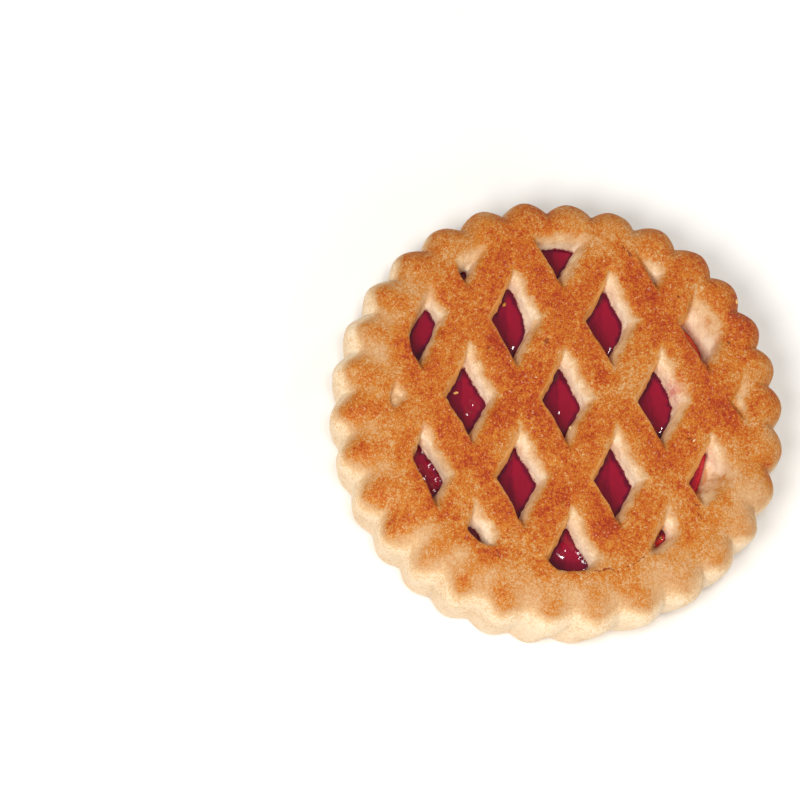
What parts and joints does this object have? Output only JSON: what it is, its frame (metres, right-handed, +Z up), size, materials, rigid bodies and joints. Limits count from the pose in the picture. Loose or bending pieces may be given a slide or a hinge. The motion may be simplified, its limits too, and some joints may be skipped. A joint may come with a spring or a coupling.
{
  "type": "lattice jam biscuit",
  "caption": "Round fluted biscuit with a baked lattice top; glossy red jam shows through its diamond openings. Flat underside.",
  "frame": {"origin": "middle of the flat underside, on the surface that the biscuit rests on", "axes": "+Z up out of the lattice top; the long way of the diamonds runs along Y, with -Y nearest the viewer in the picture; +X to the right"},
  "size_m": [0.0848, 0.0843, 0.0165],
  "materials": {
    "biscuit": "matte baked dough, browned on top and pale on the sides",
    "jam": "glossy, slightly translucent"
  },
  "bodies": {
    "root": {"biscuit_base": "biscuit", "jam_filling": "jam", "lattice_top": "biscuit"}
  },
  "joints": []
}
